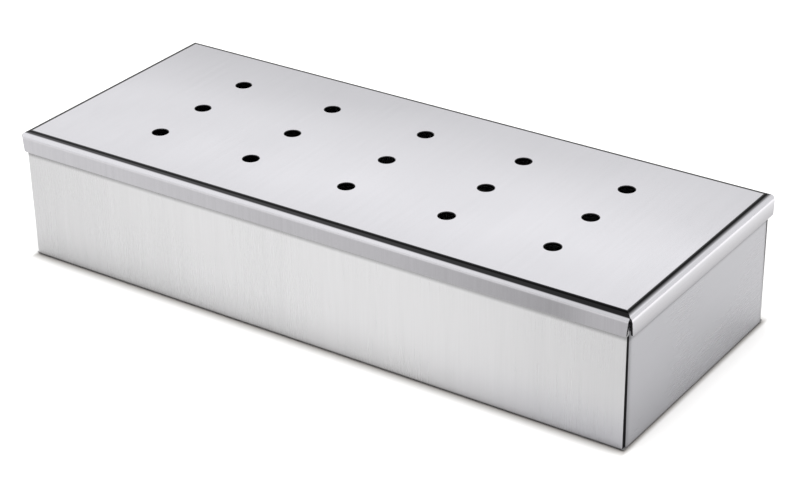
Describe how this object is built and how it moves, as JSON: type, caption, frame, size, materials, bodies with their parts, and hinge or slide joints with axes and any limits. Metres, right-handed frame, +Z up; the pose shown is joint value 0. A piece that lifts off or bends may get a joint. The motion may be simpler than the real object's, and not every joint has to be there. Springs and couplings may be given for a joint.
{
  "type": "smoker box",
  "caption": "Shallow rectangular stainless-steel box for wood chips, with a hinged lid pierced by round smoke vents and turned down at its edges.",
  "frame": {"origin": "centre of the tray's floor, on the surface that the box stands on", "axes": "+X to the right along the long side, +Y towards the back, where the hinges are, +Z up"},
  "size_m": [0.23, 0.0959, 0.046],
  "materials": {
    "brushed_sheet": "fine brushed, satin",
    "hinge_leaf": "fine brushed, satin",
    "pin_and_rivet": "smooth, drawn wire"
  },
  "bodies": {
    "tray": {"tray": "brushed_sheet", "left_hinge_tray_leaf": "hinge_leaf", "left_hinge_pin": "pin_and_rivet", "left_hinge_rivets": "pin_and_rivet", "right_hinge_tray_leaf": "hinge_leaf", "right_hinge_pin": "pin_and_rivet", "right_hinge_rivets": "pin_and_rivet"},
    "lid": {"lid": "brushed_sheet", "left_hinge_lid_leaf": "hinge_leaf", "right_hinge_lid_leaf": "hinge_leaf"}
  },
  "joints": [
    {"name": "lid_hinge", "type": "hinge", "parent": "tray", "child": "lid", "pos_m": [0, 0.0481, 0.039], "axis": [-1, 0, 0], "range_deg": [0, 180]}
  ]
}
